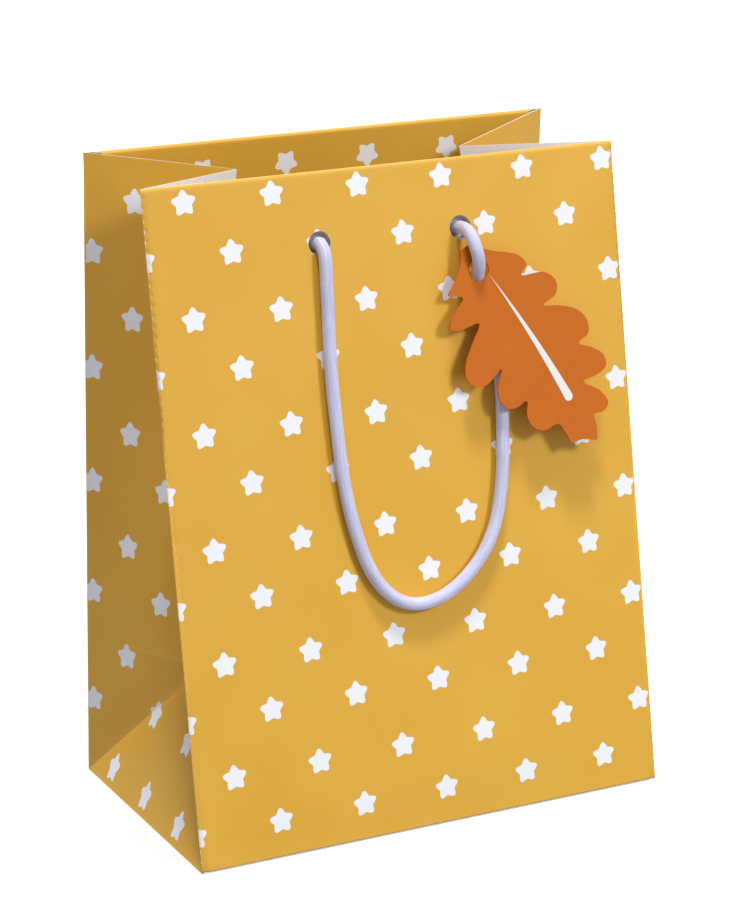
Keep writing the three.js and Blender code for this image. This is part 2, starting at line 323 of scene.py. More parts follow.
def printed_paper():
    finish = Finish("printed_paper", roughness=0.5, specular=0.35)
    place = finish.flat_map()
    cloud = finish.noise(place, scale=0.02, detail=3.0)
    fleck = finish.noise(place, scale=1.4, detail=4.0)
    shade = finish.mix(fleck, cloud, share=0.25)
    ground = finish.blend(finish.fade(shade, low=0.3, high=0.7), MUSTARD_DEEP, MUSTARD)
    printed = finish.blend(star_print(finish, place), ground, INK_WHITE)
    worn = finish.add("Attribute", {}, output=2, attribute_name="worn")
    patchy = finish.fade(fleck, low=0.2, high=0.8, to_low=0.4, to_high=0.8)
    rubbed = finish.math("MULTIPLY", worn, patchy)
    finish.wire("Base Color", finish.blend(rubbed, printed, FOLD_LIGHT))
    finish.wire("Roughness", finish.fade(fleck, low=0.3, high=0.7, to_low=0.44, to_high=0.56))
    grain = finish.noise(place, scale=2.2, detail=3.0)
    relief = finish.math("ADD", grain, finish.math("MULTIPLY", cloud, COCKLE))
    finish.bump(relief, distance=PAPER_GRAIN, strength=0.5)
    return finish.material


def white_paper():
    finish = Finish("white_paper", roughness=0.75, specular=0.25)
    place = finish.solid_map()
    fibre = finish.noise(finish.stretch(place, 0.6, 0.6, 1.4), scale=1.1, detail=5.0)
    cloud = finish.noise(place, scale=0.03, detail=2.0)
    shade = finish.mix(fibre, cloud, share=0.5)
    colour = finish.blend(finish.fade(shade, low=0.3, high=0.7), BARE_DEEP, BARE_LIGHT)
    finish.wire("Base Color", colour)
    finish.bump(fibre, distance=PAPER_GRAIN, strength=0.8)
    return finish.material


PRINTED = printed_paper()
WHITE = white_paper()
print("finishes:", PRINTED.name, WHITE.name)

# %% [markdown]
# ## Cutting, punching and folding paper
# A bag is cut flat, punched flat and only then folded, and the script does the same. A flat
# outline with its punched holes is filled with triangles, gets the thickness of the paper, and
# a folding rule then moves each point to its place. The flat position stays on every point as
# the map called sheet, so the print runs over each fold without a break.

# %% Find places on a flat outline
EDGE_CLEARANCE = 0.09 * MM
HOLE_CLEARANCE = 0.4 * MM
FILL_INSIDE = 1
MERGE_DISTANCE = 1e-9


def inside_loop(points, loop):
    """Which points lie inside a closed loop."""
    x, y = points.T
    inside = np.zeros(len(points), bool)
    for (ax, ay), (bx, by) in zip(loop, np.roll(loop, -1, axis=0)):
        crosses = (ay > y) != (by > y)
        with np.errstate(divide="ignore", invalid="ignore"):
            inside ^= crosses & (x < (bx - ax) * (y - ay) / (by - ay) + ax)
    return inside


def loop_distance(points, loop):
    """How far each point is from a closed loop."""
    least = np.full(len(points), np.inf)
    for a, b in zip(loop, np.roll(loop, -1, axis=0)):
        span = b - a
        t = np.clip((points - a) @ span / (span @ span), 0, 1)
        least = np.minimum(least, np.linalg.norm(points - a - t[:, None] * span, axis=1))
    return least


print("grid points keep %.2f mm from an edge" % (EDGE_CLEARANCE / MM))


# %% Fill a flat sheet with triangles
def cut_sheet(outline, holes, columns, rows):
    """Flat points and triangles of an outline with holes, with a grid of points inside it."""
    loops = [np.asarray(loop, float) for loop in [outline, *holes]]
    grid = np.array([(x, y) for y in rows for x in columns])
    keep = inside_loop(grid, loops[0]) & (loop_distance(grid, loops[0]) > EDGE_CLEARANCE)
    for hole in loops[1:]:
        keep &= ~inside_loop(grid, hole) & (loop_distance(grid, hole) > HOLE_CLEARANCE)
    points, edges = [], []
    for loop in loops:
        first = len(points)
        points += [Vector(p) for p in loop]
        edges += [(first + i, first + (i + 1) % len(loop)) for i in range(len(loop))]
    points += [Vector(p) for p in grid[keep]]
    made = delaunay_2d_cdt(points, edges, [], FILL_INSIDE, MERGE_DISTANCE)
    flat = np.array([tuple(p) for p in made[0]])
    faces = np.array([f for f in made[2] if len(f) == 3])
    middles = flat[faces].mean(axis=1)
    solid = inside_loop(middles, loops[0])
    for hole in loops[1:]:
        solid &= ~inside_loop(middles, hole)
    faces = faces[solid]
    a, b, c = (flat[faces[:, k]] for k in range(3))
    turned = (b - a)[:, 0] * (c - a)[:, 1] - (b - a)[:, 1] * (c - a)[:, 0] < 0
    faces[turned] = faces[turned][:, ::-1]
    return flat, faces


def rim_of(faces):
    """The directed edges that only one triangle has."""
    edges = {(f[i], f[(i + 1) % 3]) for f in faces for i in range(3)}
    return [(a, b) for a, b in edges if (b, a) not in edges]


print("sheets are filled by triangles that follow every outline and hole")


# %% Give a sheet its fold, thickness and print
def new_piece(name, points, faces, materials):
    """A smooth-shaded mesh object at the origin with its materials."""
    mesh = bpy.data.meshes.new(name)
    mesh.from_pydata([tuple(p) for p in points], [], [tuple(int(i) for i in f) for f in faces])
    for material in materials:
        mesh.materials.append(material)
    mesh.polygons.foreach_set("use_smooth", [True] * len(mesh.polygons))
    piece = bpy.data.objects.new(name, mesh)
    scene.collection.objects.link(piece)
    return piece


def with_steps(corners, step):
    """A closed outline with points added so that no stretch of it is longer than a step."""
    outline = []
    for a, b in zip(np.asarray(corners, float), np.roll(corners, -1, axis=0)):
        count = max(1, int(math.ceil(np.linalg.norm(b - a) / step)))
        outline += [a + (b - a) * i / count for i in range(count)]
    return np.array(outline)


def circle_loop(x, y, radius, sides=40):
    turns = np.arange(sides) * 2 * math.pi / sides
    return np.stack([x + radius * np.cos(turns), y + radius * np.sin(turns)], axis=1)


def paper_piece(name, sheet, fold, thickness=PAPER, print_map=None, worn=None, cut=None):
    """A folded sheet with a printed side at depth 0 and a white side at the paper's thickness.

    fold(flat points, depth) gives each point its place, and worn says how rubbed it is. Where
    cut(flat points) is true the rim is a white cut edge, and elsewhere the print runs over it,
    because the sheet goes on past the fold as the next piece.
    """
    flat, faces = sheet
    count = len(flat)
    points = np.vstack([fold(flat, 0.0), fold(flat, thickness)])
    rim = rim_of(faces)
    walls = [(b, a, a + count, b + count) for a, b in rim]
    every = [tuple(f) for f in faces] + [tuple(f[::-1] + count) for f in faces] + walls
    piece = new_piece(name, points, every, (PRINTED, WHITE))
    is_cut = np.ones(count, bool) if cut is None else cut(flat)
    rims = [1 if is_cut[a] and is_cut[b] else 0 for a, b in rim]
    sides = np.array([0] * len(faces) + [1] * len(faces) + rims, np.int32)
    piece.data.polygons.foreach_set("material_index", sides)
    printed = flat if print_map is None else print_map(flat)
    layer = piece.data.uv_layers.new(name="sheet")
    corners = np.empty(len(piece.data.loops), np.int32)
    piece.data.loops.foreach_get("vertex_index", corners)
    layer.data.foreach_set("uv", (printed[corners % count] / MM).astype(np.float32).ravel())
    rubbed = piece.data.attributes.new("worn", "FLOAT", "POINT")
    values = np.zeros(count) if worn is None else worn
    rubbed.data.foreach_set("value", np.tile(values, 2).astype(np.float32))
    creased = {tuple(sorted((a + k, b + k))) for a, b in rim for k in (0, count)}
    for edge in piece.data.edges:
        edge.use_edge_sharp = edge.key in creased
    return piece


def edge_wear(distance, reach=0.9 * MM):
    """How rubbed the paper is at a distance from a fold."""
    return np.clip(1 - distance / reach, 0, 1)


print("paper tools ready")

# %% [markdown]
# ## Front and back walls
# Each wall is one sheet: the panel, a tight turn over the top edge round the stiffening card,
# and the hem that comes down inside the bag. A flat box would show knife-sharp edges, so the
# sheet also rolls a little at its two upright folds and swells slightly between them. The
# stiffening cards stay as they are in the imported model, between the two layers.

# %% Fold the two wall sheets
TURN = 1.1 * MM
HEM_HEIGHT = 40 * MM
HEM_HALF_WIDTH = 82.8 * MM
SIDE_ROLL = 0.9 * MM
ROLL_ROUND = 0.96
EDGE_DEPTH = SIDE_ROLL * (1 - math.sqrt(1 - ROLL_ROUND))
EDGE_MITRE = 0.5 * MM
FOOT = 0.8 * MM
SWELL = 0.45 * MM
SWELL_STARTS = {"hem": 30 * MM, "foot": 20 * MM, "side": 45 * MM}
RIPPLE = 0.12 * MM
RIPPLE_SPAN = (17 * MM, 23 * MM)
GRID = 3.5 * MM
HALF = WIDTH / 2
OVER_TOP = (math.pi - 2) * TURN
SIDE_COLUMNS = np.array([0.12, 0.28, 0.48, 0.72, 1.0, 1.6]) * MM
SIDE_MARGIN = 3 * MM
FOOT_MARGIN = 2 * MM
HEM_MARGIN = 1 * MM
EDGE_BAND = 1 * MM
TURN_ROWS = 13
SIDE_WEAR = 0.6
TURN_WEAR = 0.7
TURN_WEAR_REACH = 1.4 * MM
BACK_PRINT_SHIFT = np.array([9.3, -3.4]) * MM


def smoothstep(value, low, high):
    t = np.clip((value - low) / (high - low), 0, 1)
    return t * t * (3 - 2 * t)


def wall_fold(board, seed):
    """The folding rule of one wall: flat points are (across, past the top edge)."""

    def fold(flat, depth):
        x, past = flat.T
        angle = np.clip((past + TURN) / TURN, 0, math.pi)
        radius = TURN - depth
        run_up = np.minimum(past + TURN, 0)
        run_down = np.maximum(past + TURN - math.pi * TURN, 0)
        y = HEIGHT - TURN + run_up + radius * np.sin(angle) - run_down
        z = -TURN + radius * np.cos(angle)
        outer = np.clip((np.abs(x) - (HALF - SIDE_ROLL)) / SIDE_ROLL, 0, 1)
        below_turn = smoothstep(-past, 0, 4 * TURN)
        z -= SIDE_ROLL * (1 - np.sqrt(1 - ROLL_ROUND * outer**2)) * below_turn
        mitre = depth / PAPER * EDGE_MITRE * smoothstep(np.abs(x), HALF - 2 * EDGE_MITRE, HALF)
        x = x - np.sign(x) * mitre
        low = smoothstep(-past, HEM_HEIGHT, HEM_HEIGHT + SWELL_STARTS["hem"])
        foot = smoothstep(HEIGHT + past, 0, SWELL_STARTS["foot"])
        side = smoothstep(HALF - np.abs(x), 0, SWELL_STARTS["side"])
        ripple = np.sin(x / RIPPLE_SPAN[0] + seed) * np.sin(y / RIPPLE_SPAN[1] + 2 * seed)
        z += (SWELL + RIPPLE * ripple) * low * foot * side
        return board.place(np.stack([x, y, z], axis=1))

    return fold


print("the hem comes down %.0f mm inside" % (HEM_HEIGHT / MM))


# %% Cut both walls and fold them
def wall_sheet():
    """The flat sheet of one wall: panel, turn and hem, with its four punched holes."""
    hem_end = HEM_HEIGHT + OVER_TOP
    over = math.pi * TURN / 2
    right = [(HALF, FOOT - HEIGHT), (HALF, 0), (HEM_HALF_WIDTH, over), (HEM_HALF_WIDTH, hem_end)]
    corners = right + [(-x, y) for x, y in reversed(right)]
    holes = [
        circle_loop(side * HOLE_X, past, HOLE_RADIUS)
        for side in (-1, 1)
        for past in (-HOLE_DROP, HOLE_DROP + OVER_TOP)
    ]
    middle = np.linspace(-HALF + SIDE_MARGIN, HALF - SIDE_MARGIN, int(WIDTH / GRID))
    columns = np.concatenate([-HALF + SIDE_COLUMNS, middle, HALF - SIDE_COLUMNS[::-1]])
    panel_rows = np.linspace(-HEIGHT + FOOT_MARGIN, -2 * TURN, int(HEIGHT / GRID))
    turn_rows = np.linspace(-TURN, -TURN + math.pi * TURN, TURN_ROWS)
    hem_rows = np.linspace(3 * TURN, hem_end - HEM_MARGIN, int(HEM_HEIGHT / GRID))
    rows = np.concatenate([panel_rows, turn_rows, hem_rows])
    return cut_sheet(with_steps(corners, GRID), holes, columns, rows)


def wall(label, board, seed, body, print_shift):
    flat, faces = wall_sheet()
    to_side = HALF - np.abs(flat[:, 0])
    to_turn = np.abs(flat[:, 1] + TURN - math.pi * TURN / 2)
    side_wear = edge_wear(to_side) * SIDE_WEAR
    worn = np.maximum(side_wear, edge_wear(to_turn, TURN_WEAR_REACH) * TURN_WEAR)
    piece = paper_piece(
        label + "_wall_paper",
        (flat, faces),
        wall_fold(board, seed),
        print_map=lambda points: points - print_shift,
        worn=worn,
        cut=lambda points: (points[:, 1] > 0) | (np.abs(points[:, 0]) < HALF - EDGE_BAND),
    )
    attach(piece, body)
    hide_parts(label + "_panel", label + "_top_hem")
    print(piece.name, len(piece.data.polygons), "faces")
    return piece


front_wall = wall("front", FRONT, 0.4, "front_wall", np.zeros(2))
back_wall = wall("back", BACK, 2.1, "bag_body", BACK_PRINT_SHIFT)

# %% [markdown]
# ## Pleated gussets
# Each side is a strip of the same sheet, folded inwards along an upright crease that stops
# where a level fold and two diagonal ones meet above the base. The folds divide it into five
# flat or gently twisted facets. The triangle at the base and the rear half of the level fold
# stay with the bag. The other three lie between the bag and the front wall, which moves. For
# them a blend across its joint is worked out but not applied, so they stay unattached. The
# shares at their corners agree along every crease that they share.

# %% Where the folds run
FOLD_HEIGHT = DEPTH / 2
MEETING = np.array((-HALF + 27 * MM, 6.5 * MM, 50 * MM))
PLEAT_TOP = np.array((-HALF + 46 * MM, 16 * MM, 222.8 * MM))
PLEAT_TOP_SHARE = 0.47
FOOT_SHARE = 0.5
FACET_SWELL = 0.7 * MM
FACET_SWELL_REACH = 24 * MM
FACET_WEAR = 0.35
FACET_COLUMNS = np.array([0.15, 0.35, 0.6, 1.0]) * MM
FACET_MARGINS = (2 * MM, 1.5 * MM)
TOP_EDGE = HEIGHT - 0.01 * MM

LEFT_SIDE = {
    "front_foot": FRONT.place([(-HALF, 0, -EDGE_DEPTH)])[0],
    "front_fold": FRONT.place([(-HALF, FOLD_HEIGHT, -EDGE_DEPTH)])[0],
    "front_top": FRONT.place([(-HALF, HEIGHT, -EDGE_DEPTH)])[0],
    "back_foot": BACK.place([(HALF, 0, -EDGE_DEPTH)])[0],
    "back_fold": BACK.place([(HALF, FOLD_HEIGHT, -EDGE_DEPTH)])[0],
    "back_top": BACK.place([(HALF, HEIGHT, -EDGE_DEPTH)])[0],
    "meeting": MEETING,
    "pleat_top": PLEAT_TOP,
}
FLAT_SIDE = {
    "front_foot": (DEPTH, 0),
    "front_fold": (DEPTH, FOLD_HEIGHT),
    "front_top": (DEPTH, HEIGHT),
    "back_foot": (0, 0),
    "back_fold": (0, FOLD_HEIGHT),
    "back_top": (0, HEIGHT),
    "meeting": (DEPTH / 2, FOLD_HEIGHT),
    "pleat_top": (DEPTH / 2, HEIGHT),
}
# The share of the front wall's motion set for each corner that would move; share_line works a
# facet's blend out of it.
SHARES = {
    "front_foot": FOOT_SHARE,
    "front_fold": 1,
    "front_top": 1,
    "back_fold": 0,
    "back_top": 0,
    "meeting": 0,
    "pleat_top": PLEAT_TOP_SHARE,
}
FACETS = {
    "base_triangle": ("back_foot", "front_foot", "meeting"),
    "lower_rear": ("back_foot", "meeting", "back_fold"),
    "lower_front": ("meeting", "front_foot", "front_fold"),
    "upper_rear": ("back_fold", "meeting", "pleat_top", "back_top"),
    "upper_front": ("meeting", "front_fold", "front_top", "pleat_top"),
}
SIDE_PRINT_FROM = np.array([17.5, 213.7]) * MM
SIDE_PRINT_TO = np.array([-11.0, -5.9]) * MM
SIDE_PRINT_SCALE = np.array([31.7 / 29, 38.5 / 41.5])


print("the pleat reaches %.0f mm in at the top" % ((PLEAT_TOP[0] + HALF) / MM))


# %% Shape one facet
def facet_place(corners, flat_corners, flat):
    """Places and outward normals on the facet over flat points, on the left side."""
    p = [LEFT_SIDE[name] for name in corners]
    q = np.array(flat_corners, float)
    if len(p) == 3:
        basis = np.linalg.inv(np.stack([q[1] - q[0], q[2] - q[0]], axis=1))
        a, b = basis @ (flat - q[0]).T
        places = p[0] + np.outer(a, p[1] - p[0]) + np.outer(b, p[2] - p[0])
        normal = np.cross(p[1] - p[0], p[2] - p[0])
        normals = np.tile(normal, (len(flat), 1))
        return places, normals / np.linalg.norm(normals, axis=1)[:, None]
    a, b = ((flat - q[0]) / (q[2] - q[0])).T[:, :, None]
    low, high = p[0] + a * (p[1] - p[0]), p[3] + a * (p[2] - p[3])
    places = low + b * (high - low)
    normals = np.cross((1 - b) * (p[1] - p[0]) + b * (p[2] - p[3]), high - low)
    return places, normals / np.linalg.norm(normals, axis=1)[:, None]


def facet_sheet(flat_corners):
    """The flat sheet of one facet, with its grid drawn closer along the folds."""
    low, high = np.min(flat_corners, axis=0), np.max(flat_corners, axis=0)
    near = FACET_COLUMNS

    def steps(start, end):
        inner = np.arange(start + FACET_MARGINS[0], end - FACET_MARGINS[1], GRID)
        return np.concatenate([start + near, inner, end - near[::-1]])

    columns, rows = steps(low[0], high[0]), steps(low[1], high[1])
    return cut_sheet(with_steps(flat_corners, GRID), [], columns, rows)


def share_line(corners, side):
    """Start and end of the blend whose share is as SHARES says at the facet's corners."""
    mirror = np.array((-side, 1, 1))
    zero = LEFT_SIDE["meeting"] * mirror
    others = [name for name in corners if name != "meeting"]
    spans = np.array([LEFT_SIDE[name] * mirror - zero for name in others])
    shares = np.array([SHARES[name] for name in others], float)
    slope = np.linalg.lstsq(spans, shares, rcond=0.02)[0]
    return zero, zero + slope / (slope @ slope)


def side_print(flat):
    """Where the side's sheet lies on the print."""
    return SIDE_PRINT_TO + (flat - SIDE_PRINT_FROM) * SIDE_PRINT_SCALE


def facet_piece(side, label, name):
    """One folded facet, riding the bag's body or, between the bag and the front wall, left
    unattached.
    """
    corners = FACETS[name]
    flat_corners = [FLAT_SIDE[corner] for corner in corners]
    flat, faces = facet_sheet(flat_corners)
    from_fold = loop_distance(flat, np.array(flat_corners, float))

    def fold(points, depth):
        places, normals = facet_place(corners, flat_corners, points)
        swell = FACET_SWELL * smoothstep(from_fold, 0, FACET_SWELL_REACH)
        places = places + normals * (swell - depth)[:, None]
        places[:, 2] = np.maximum(places[:, 2], 0)  # nothing reaches below the floor
        return places * (-side, 1, 1)

    turned = faces if side < 0 else faces[:, ::-1]
    piece = paper_piece(
        f"{label}_gusset_{name}_paper",
        (flat, turned),
        fold,
        print_map=side_print,
        worn=edge_wear(from_fold) * FACET_WEAR,
        cut=lambda points: points[:, 1] > TOP_EDGE,
    )
    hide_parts(f"{label}_gusset_{name}")
    if name in ("base_triangle", "lower_rear"):
        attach(piece, "bag_body")
    else:
        start, end = share_line(corners, side)
        tuple(start)
        tuple(end)
        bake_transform(piece)
    return piece


# %% Fold both gussets
gussets = [
    facet_piece(side, label, name)
    for side, label in ((-1, "left"), (1, "right"))
    for name in FACETS
]
print(len(gussets), "gusset facets")

# %% [markdown]
# ## Rope finish and rope tree
# The handle is a smooth woven cord of fine filaments laid lengthwise. What follows a path suits
# Geometry Nodes: one tree sweeps a grooved section along any chain of points, and the handle
# and its knots all use it. The tree also stores where each point lies on the section and along
# the rope, and the finish streaks the rope by those.

# %% Rope finish
ROPE_LIGHT = rgb(216, 216, 234)
ROPE_SHADE = rgb(188, 187, 214)
ROPE_GRAIN = 0.07 * MM
ROPE_CLOUD = 0.2
ROPE_SHEEN = {"Sheen Weight": 0.25, "Sheen Roughness": 0.4}


def rope_finish():
    finish = Finish("handle_rope", roughness=0.62, specular=0.35)
    section = finish.add("Attribute", {}, output=1, attribute_name="section")
    run = finish.add("Attribute", {}, output=2, attribute_name="run")
    along = finish.add("CombineXYZ", {"X": 0.0, "Y": 0.0, "Z": run})
    place = finish.add("VectorMath", {0: section, 1: along}, operation="ADD")
    place = finish.add("VectorMath", {0: place, "Scale": 1 / MM}, operation="SCALE")
    streak = finish.noise(finish.stretch(place, 2.6, 2.6, 0.12), scale=1.0, detail=3.0)
    fibre = finish.noise(finish.stretch(place, 9.0, 9.0, 0.5), scale=1.0, detail=2.0)
    cloud = finish.noise(place, scale=0.06, detail=1.0)
    shade = finish.mix(fibre, streak, share=0.35)
    shade = finish.math("MULTIPLY_ADD", cloud, ROPE_CLOUD, shade)
    light = finish.fade(shade, low=0.42, high=0.78)
    finish.wire("Base Color", finish.blend(light, ROPE_SHADE, ROPE_LIGHT))
    finish.bump(shade, distance=ROPE_GRAIN, strength=0.7)
    for socket, value in ROPE_SHEEN.items():
        finish.shader.inputs[socket].default_value = value
    return finish.material


ROPE_FINISH = rope_finish()
print("finish:", ROPE_FINISH.name)


# %% Rope tree
POINTS_PER_FILAMENT = 4


def rope_tree():
    """A node group that sweeps a grooved rope section along a chain of points."""
    tree = bpy.data.node_groups.new("rope_along_route", "GeometryNodeTree")
    face = tree.interface
    face.new_socket("Geometry", in_out="INPUT", socket_type="NodeSocketGeometry")
    for name in ("Radius", "Groove", "Twist"):
        face.new_socket(name, in_out="INPUT", socket_type="NodeSocketFloat")
    face.new_socket("Filaments", in_out="INPUT", socket_type="NodeSocketInt")
    face.new_socket("Finish", in_out="INPUT", socket_type="NodeSocketMaterial")
    face.new_socket("Geometry", in_out="OUTPUT", socket_type="NodeSocketGeometry")

    def add(kind, settings=(), **inputs):
        node = tree.nodes.new(kind)
        for key, value in dict(settings).items():
            setattr(node, key, value)
        for key, value in inputs.items():
            socket = node.inputs[key.replace("_", " ")]
            if isinstance(value, bpy.types.NodeSocket):
                tree.links.new(value, socket)
            else:
                socket.default_value = value
        return node.outputs[0]

    def math(operation, *values):
        node = tree.nodes.new("ShaderNodeMath")
        node.operation = operation
        for socket, value in zip(node.inputs, values):
            if isinstance(value, bpy.types.NodeSocket):
                tree.links.new(value, socket)
            else:
                socket.default_value = value
        return node.outputs[0]

    given = tree.nodes.new("NodeGroupInput").outputs
    run = tree.nodes.new("GeometryNodeSplineParameter").outputs["Length"]
    path = add("GeometryNodeMeshToCurve", Mesh=given["Geometry"])
    path = add("GeometryNodeSetCurveTilt", Curve=path, Tilt=math("MULTIPLY", run, given["Twist"]))
    stored = {"data_type": "FLOAT", "domain": "POINT"}
    path = add("GeometryNodeStoreNamedAttribute", stored, Geometry=path, Name="run", Value=run)

    points = math("MULTIPLY", given["Filaments"], POINTS_PER_FILAMENT)
    ring = add("GeometryNodeCurvePrimitiveCircle", Resolution=points, Radius=given["Radius"])
    turn = math("RADIANS", 360 / POINTS_PER_FILAMENT)
    wave = math("COSINE", math("MULTIPLY", add("GeometryNodeInputIndex"), turn))
    dip = math("MULTIPLY", math("SUBTRACT", 1.0, wave), math("MULTIPLY", given["Groove"], 0.5))
    shrink = tree.nodes.new("ShaderNodeVectorMath")
    shrink.operation = "SCALE"
    tree.links.new(add("GeometryNodeInputPosition"), shrink.inputs[0])
    tree.links.new(math("SUBTRACT", 1.0, dip), shrink.inputs["Scale"])
    ring = add("GeometryNodeSetPosition", Geometry=ring, Position=shrink.outputs[0])
    stored = {"data_type": "FLOAT_VECTOR", "domain": "POINT"}
    place = add("GeometryNodeInputPosition")
    ring = add("GeometryNodeStoreNamedAttribute", stored, Geometry=ring, Name="section", Value=place)

    swept = add("GeometryNodeCurveToMesh", Curve=path, Profile_Curve=ring, Fill_Caps=True)
    swept = add("GeometryNodeSetShadeSmooth", Geometry=swept, Shade_Smooth=True)
    swept = add("GeometryNodeRealizeInstances", Geometry=swept)
    swept = add("GeometryNodeSetMaterial", Geometry=swept, Material=given["Finish"])
    tree.links.new(swept, tree.nodes.new("NodeGroupOutput").inputs["Geometry"])
    return tree


ROPE_TREE = rope_tree()
print("tree:", ROPE_TREE.name, "with", len(ROPE_TREE.nodes), "nodes")


# %% Sweep a rope and turn it into a plain mesh
def sweep_rope(name, chains, radius, filaments, groove, twist):
    """A plain mesh rope along one or more chains of points. A closed one repeats its start."""
    points = np.vstack(chains)
    edges, first = [], 0
    for chain in chains:
        edges += [(first + i, first + i + 1) for i in range(len(chain) - 1)]
        first += len(chain)
    mesh = bpy.data.meshes.new(name + "_route")
    mesh.from_pydata([tuple(p) for p in points], edges, [])
    carrier = bpy.data.objects.new(name + "_route", mesh)
    scene.collection.objects.link(carrier)
    modifier = carrier.modifiers.new("rope", "NODES")
    modifier.node_group = ROPE_TREE
    sizes = {
        "Radius": radius,
        "Filaments": filaments,
        "Groove": groove,
        "Twist": twist,
        "Finish": ROPE_FINISH,
    }
    for item in ROPE_TREE.interface.items_tree:
        if item.name in sizes:
            modifier[item.identifier] = sizes[item.name]
    graph = bpy.context.evaluated_depsgraph_get()
    swept = bpy.data.meshes.new_from_object(carrier.evaluated_get(graph))
    bpy.data.objects.remove(carrier)
    swept.name = name
    shape = bmesh.new()
    shape.from_mesh(swept)
    bmesh.ops.recalc_face_normals(shape, faces=shape.faces)
    shape.to_mesh(swept)
    shape.free()
    piece = bpy.data.objects.new(name, swept)
    scene.collection.objects.link(piece)
    print(name, len(swept.polygons), "faces")
    return piece


# %% [markdown]
# ## The handle rope
# The rope stays in its holes at both ends, and a short hidden end runs into the bag at each hole.
# It would bend just below the holes, across the handle's hinge, as the loop swings; here it is one
# mesh fixed in the world. Its shown stretch is its whole length outside the bag.

# %% Sweep the handle
FILAMENTS = 22
GROOVE = 0.035
ROPE_TWIST = 14.0
HOLE_DEPTH = 3.4 * MM
HIDDEN_STEPS = 3
SWING_FROM = HOLE_DROP - 0.5 * MM
SWING_TO = HOLE_DROP + 5.5 * MM

into_bag = -FRONT.out
hidden_ends = np.linspace(HOLE_DEPTH, ROUTE_STEP, HIDDEN_STEPS)[:, None] * into_bag
whole_route = [rope_path[0] + hidden_ends, rope_path, rope_path[-1] + hidden_ends[::-1]]
rope_line = np.vstack(whole_route)
handle = sweep_rope("front_handle_rope", [rope_line], ROPE / 2, FILAMENTS, GROOVE, ROPE_TWIST)
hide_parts("front_handle_cord")
tuple(FRONT.spot(0, SWING_FROM, 0))
tuple(FRONT.spot(0, SWING_TO, 0))
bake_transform(handle)

# %% [markdown]
# ## Knots
# Behind the hem each rope end is tied in an overhand knot, pulled tight against the card. A
# trefoil is the same closed crossing, so a small trefoil with the rope running through it and
# out as a short tail reads as the knot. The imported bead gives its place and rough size.

# %% Tie both knots
KNOT_ROPE = 1.95 * MM
KNOT_SPREAD = 1.33 * MM
KNOT_RISE = 2.15 * MM
KNOT_DEPTH = 7.4 * MM
KNOT_FILAMENTS = 12
KNOT_POINTS = 97
TAIL_STEP = 0.6 * MM
TAIL_ROUTE = [(0, 0, -2.4), (0, 0, -8), (0.8, -1.6, -11.4), (1.4, -4.6, -13.4), (1.6, -8.4, -14)]


def knot(side, label):
    """The knot behind one hole: a small trefoil, and the rope through it with its tail."""
    turns = np.linspace(0, 2 * math.pi, KNOT_POINTS)
    loop = np.stack(
        [
            KNOT_SPREAD * (np.sin(turns) + 2 * np.sin(2 * turns)),
            KNOT_SPREAD * (np.cos(turns) - 2 * np.cos(2 * turns)),
            -KNOT_DEPTH - KNOT_RISE * np.sin(3 * turns),
        ],
        axis=1,
    )
    tail = smooth_route(np.array(TAIL_ROUTE) * (side, 1, 1) * MM, TAIL_STEP)
    centre = np.array((side * HOLE_X, HEIGHT - HOLE_DROP, 0))
    chains = [FRONT.place(part + centre) for part in (loop, tail)]
    name = f"front_handle_{label}_knot"
    piece = sweep_rope(name + "_rope", chains, KNOT_ROPE, KNOT_FILAMENTS, GROOVE, ROPE_TWIST)
    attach(piece, "front_wall")
    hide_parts(name)
    return piece


knots = [knot(-1, "left"), knot(1, "right")]

# %% [markdown]
# ## Leaf tag
# The tag is an oak leaf punched from thick card and printed with a white midrib that grows
# wider towards the tip. Its outline is the same chain of lobes and notches as in the packed
# model, run through with a finer spline. It lies on its own small board, with the threading
# hole at the origin and the leaf along x.

# %% Leaf outline and board
TAG_CARD = 0.7 * MM
TAG_HOLE = 3.8 * MM
TAG_AT = FRONT.spot(29.4 * MM, 38.8 * MM, 5.7 * MM)
TAG_TURN = math.radians(27.4 - 90)
TAG_LIFT = math.radians(3)
TAG_CURL = 0.4 * MM
TAG_LENGTH = 75 * MM
TAG_GRID = 1.6 * MM
TAG_HOLE_SIDES = 36
LEAF_STEP = 0.9
STEM = [(-9.2, 2.4), (-9.2, -2.4)]
LEAF_LEFT = [
    (-7.6, -3), (-3.4, -7), (-1, -11), (1, -14.4), (4.6, -10.2), (8, -17.8), (10.6, -20.2),
    (12.9, -18), (15.3, -9.9), (19.6, -15.8), (24, -21.8), (28.2, -24.3), (32, -23.3),
    (34.3, -19.8), (33, -11.4), (37.4, -16), (42, -17.9), (45.6, -17), (47.4, -13.6),
    (47.6, -9.3), (52, -12.1), (56.4, -12.3), (60, -9.4), (61.2, -3.6), (65, -3), (69.8, -3),
]
LEAF_TIP = [(71, 1.2), (74.8, 6)]
LEAF_RIGHT = [
    (70, 8.6), (66.5, 9.8), (67.7, 13.6), (66.2, 16.8), (61, 16.4), (54.4, 12.4), (55.6, 18.2),
    (55, 23), (51.4, 24.3), (46.6, 22), (42.4, 18.4), (41.6, 23.4), (37.6, 25.5), (32.4, 24.3),
    (27.4, 19.4), (23.7, 14), (23.2, 20.2), (19.6, 22.8), (14.6, 20.8), (10.3, 12.6),
    (8.4, 16.3), (4, 15.4), (0.6, 12), (-2.6, 8), (-6.6, 4.2),
]
left_edge = smooth_route([STEM[1], *LEAF_LEFT], LEAF_STEP)
right_edge = smooth_route([LEAF_TIP[1], *LEAF_RIGHT], LEAF_STEP)
leaf_outline = np.vstack([STEM[:1], left_edge, LEAF_TIP[:1], right_edge]) * MM


def turned_by(angle, first, second):
    """Two coordinates after a turn in their plane."""
    c, s = math.cos(angle), math.sin(angle)
    return first * c - second * s, first * s + second * c


